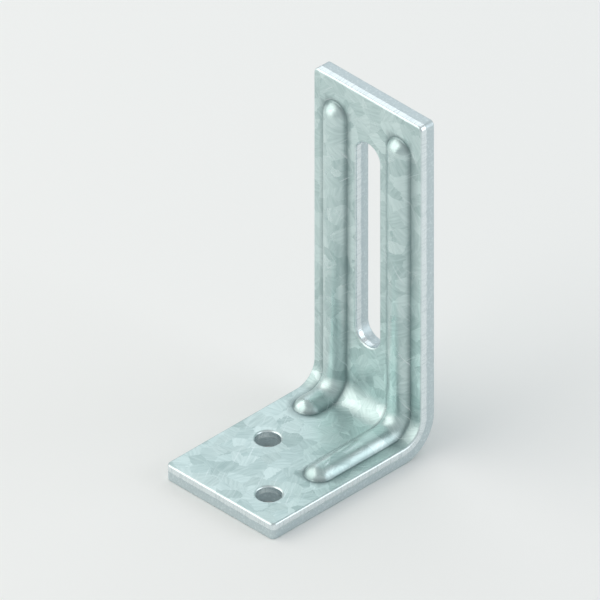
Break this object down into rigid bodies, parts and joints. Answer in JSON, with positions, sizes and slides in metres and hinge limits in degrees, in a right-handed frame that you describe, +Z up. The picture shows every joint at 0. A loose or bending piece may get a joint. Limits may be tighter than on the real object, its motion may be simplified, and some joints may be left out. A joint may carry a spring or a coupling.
{
  "type": "truss clip",
  "caption": "Right-angled steel clip with pressed ribs round the bend, a long nailing slot in its leg and nail holes in its base, for holding a roof truss on a wall plate.",
  "frame": {"origin": "under the middle of the clip, on the surface that its base lies on", "axes": "+Z up along the leg, +X across the width, +Y out of the leg's flat back; the base runs towards -Y"},
  "size_m": [0.0254, 0.0382, 0.0667],
  "materials": {
    "galvanised_steel": "hot-dip galvanised sheet with a fine, soft spangle"
  },
  "bodies": {
    "root": {"truss_clip": "galvanised_steel"}
  },
  "joints": []
}
